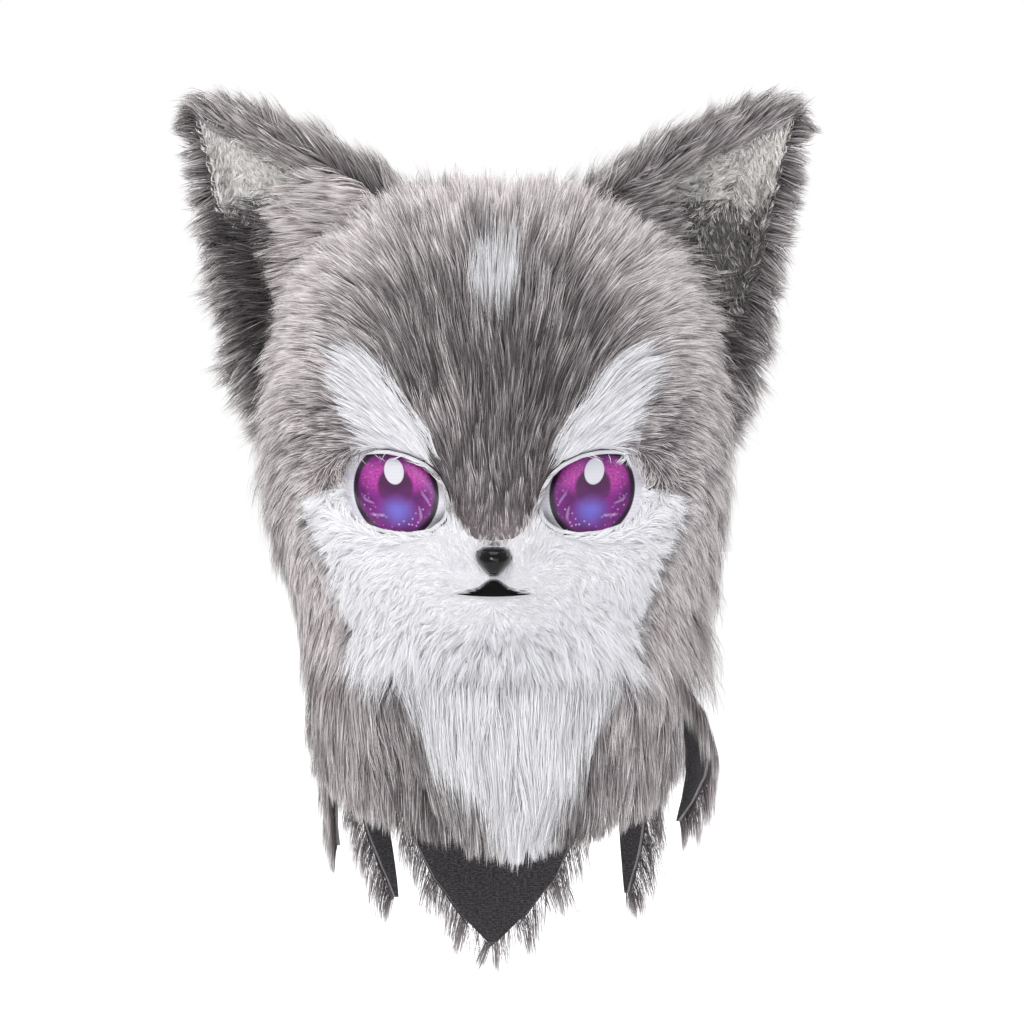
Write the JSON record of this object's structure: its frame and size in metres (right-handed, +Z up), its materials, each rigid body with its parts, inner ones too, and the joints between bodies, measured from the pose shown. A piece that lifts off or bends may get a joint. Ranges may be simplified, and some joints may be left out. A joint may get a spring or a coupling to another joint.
{
  "type": "costume head",
  "caption": "Wolf costume head in long grey fur with white face, brows and bib, cupped upright ears, printed mesh eyes and hanging neck panels.",
  "frame": {"origin": "the inner top of the dome, where the wearer's crown bears", "axes": "+Z up; the face looks along -Y; +X is towards the wearer's left"},
  "size_m": [0.4152, 0.3472, 0.5923],
  "materials": {
    "foam": "dark foam, matte",
    "grey_fur": "long grey pile with dark roots and pale tips",
    "white_fur": "white pile",
    "plush": "short off-white plush",
    "backing": "charcoal flecked knit",
    "eye_mesh": "printed fine mesh",
    "eye_rim": "felt",
    "nose": "gloss black",
    "felt": "black felt, matte"
  },
  "bodies": {
    "root": {"head_form": "foam", "crown_fur": "grey_fur", "face_mask": "white_fur", "brow_left": "white_fur", "brow_right": "white_fur", "blaze": "white_fur", "eye_rim_left": "eye_rim", "eye_rim_right": "eye_rim", "eye_mesh_left": "eye_mesh", "eye_mesh_right": "eye_mesh", "nose": "nose", "mouth_felt": "felt", "ear_cup_left": "foam", "ear_cup_right": "foam", "ear_lining_left": "plush", "ear_lining_right": "plush", "ear_fur_left": "grey_fur", "ear_fur_right": "grey_fur", "neck_panel_front": "backing", "neck_panel_side_left": "backing", "neck_panel_side_right": "backing", "neck_panel_back_left": "backing", "neck_panel_back_right": "backing", "neck_panel_back": "backing", "bib_fur": "white_fur", "throat_fur_left": "grey_fur", "throat_fur_right": "grey_fur", "neck_fur_side_left": "grey_fur", "neck_fur_side_right": "grey_fur", "neck_fur_back_left": "grey_fur", "neck_fur_back_right": "grey_fur", "neck_fur_back": "grey_fur"}
  },
  "joints": []
}
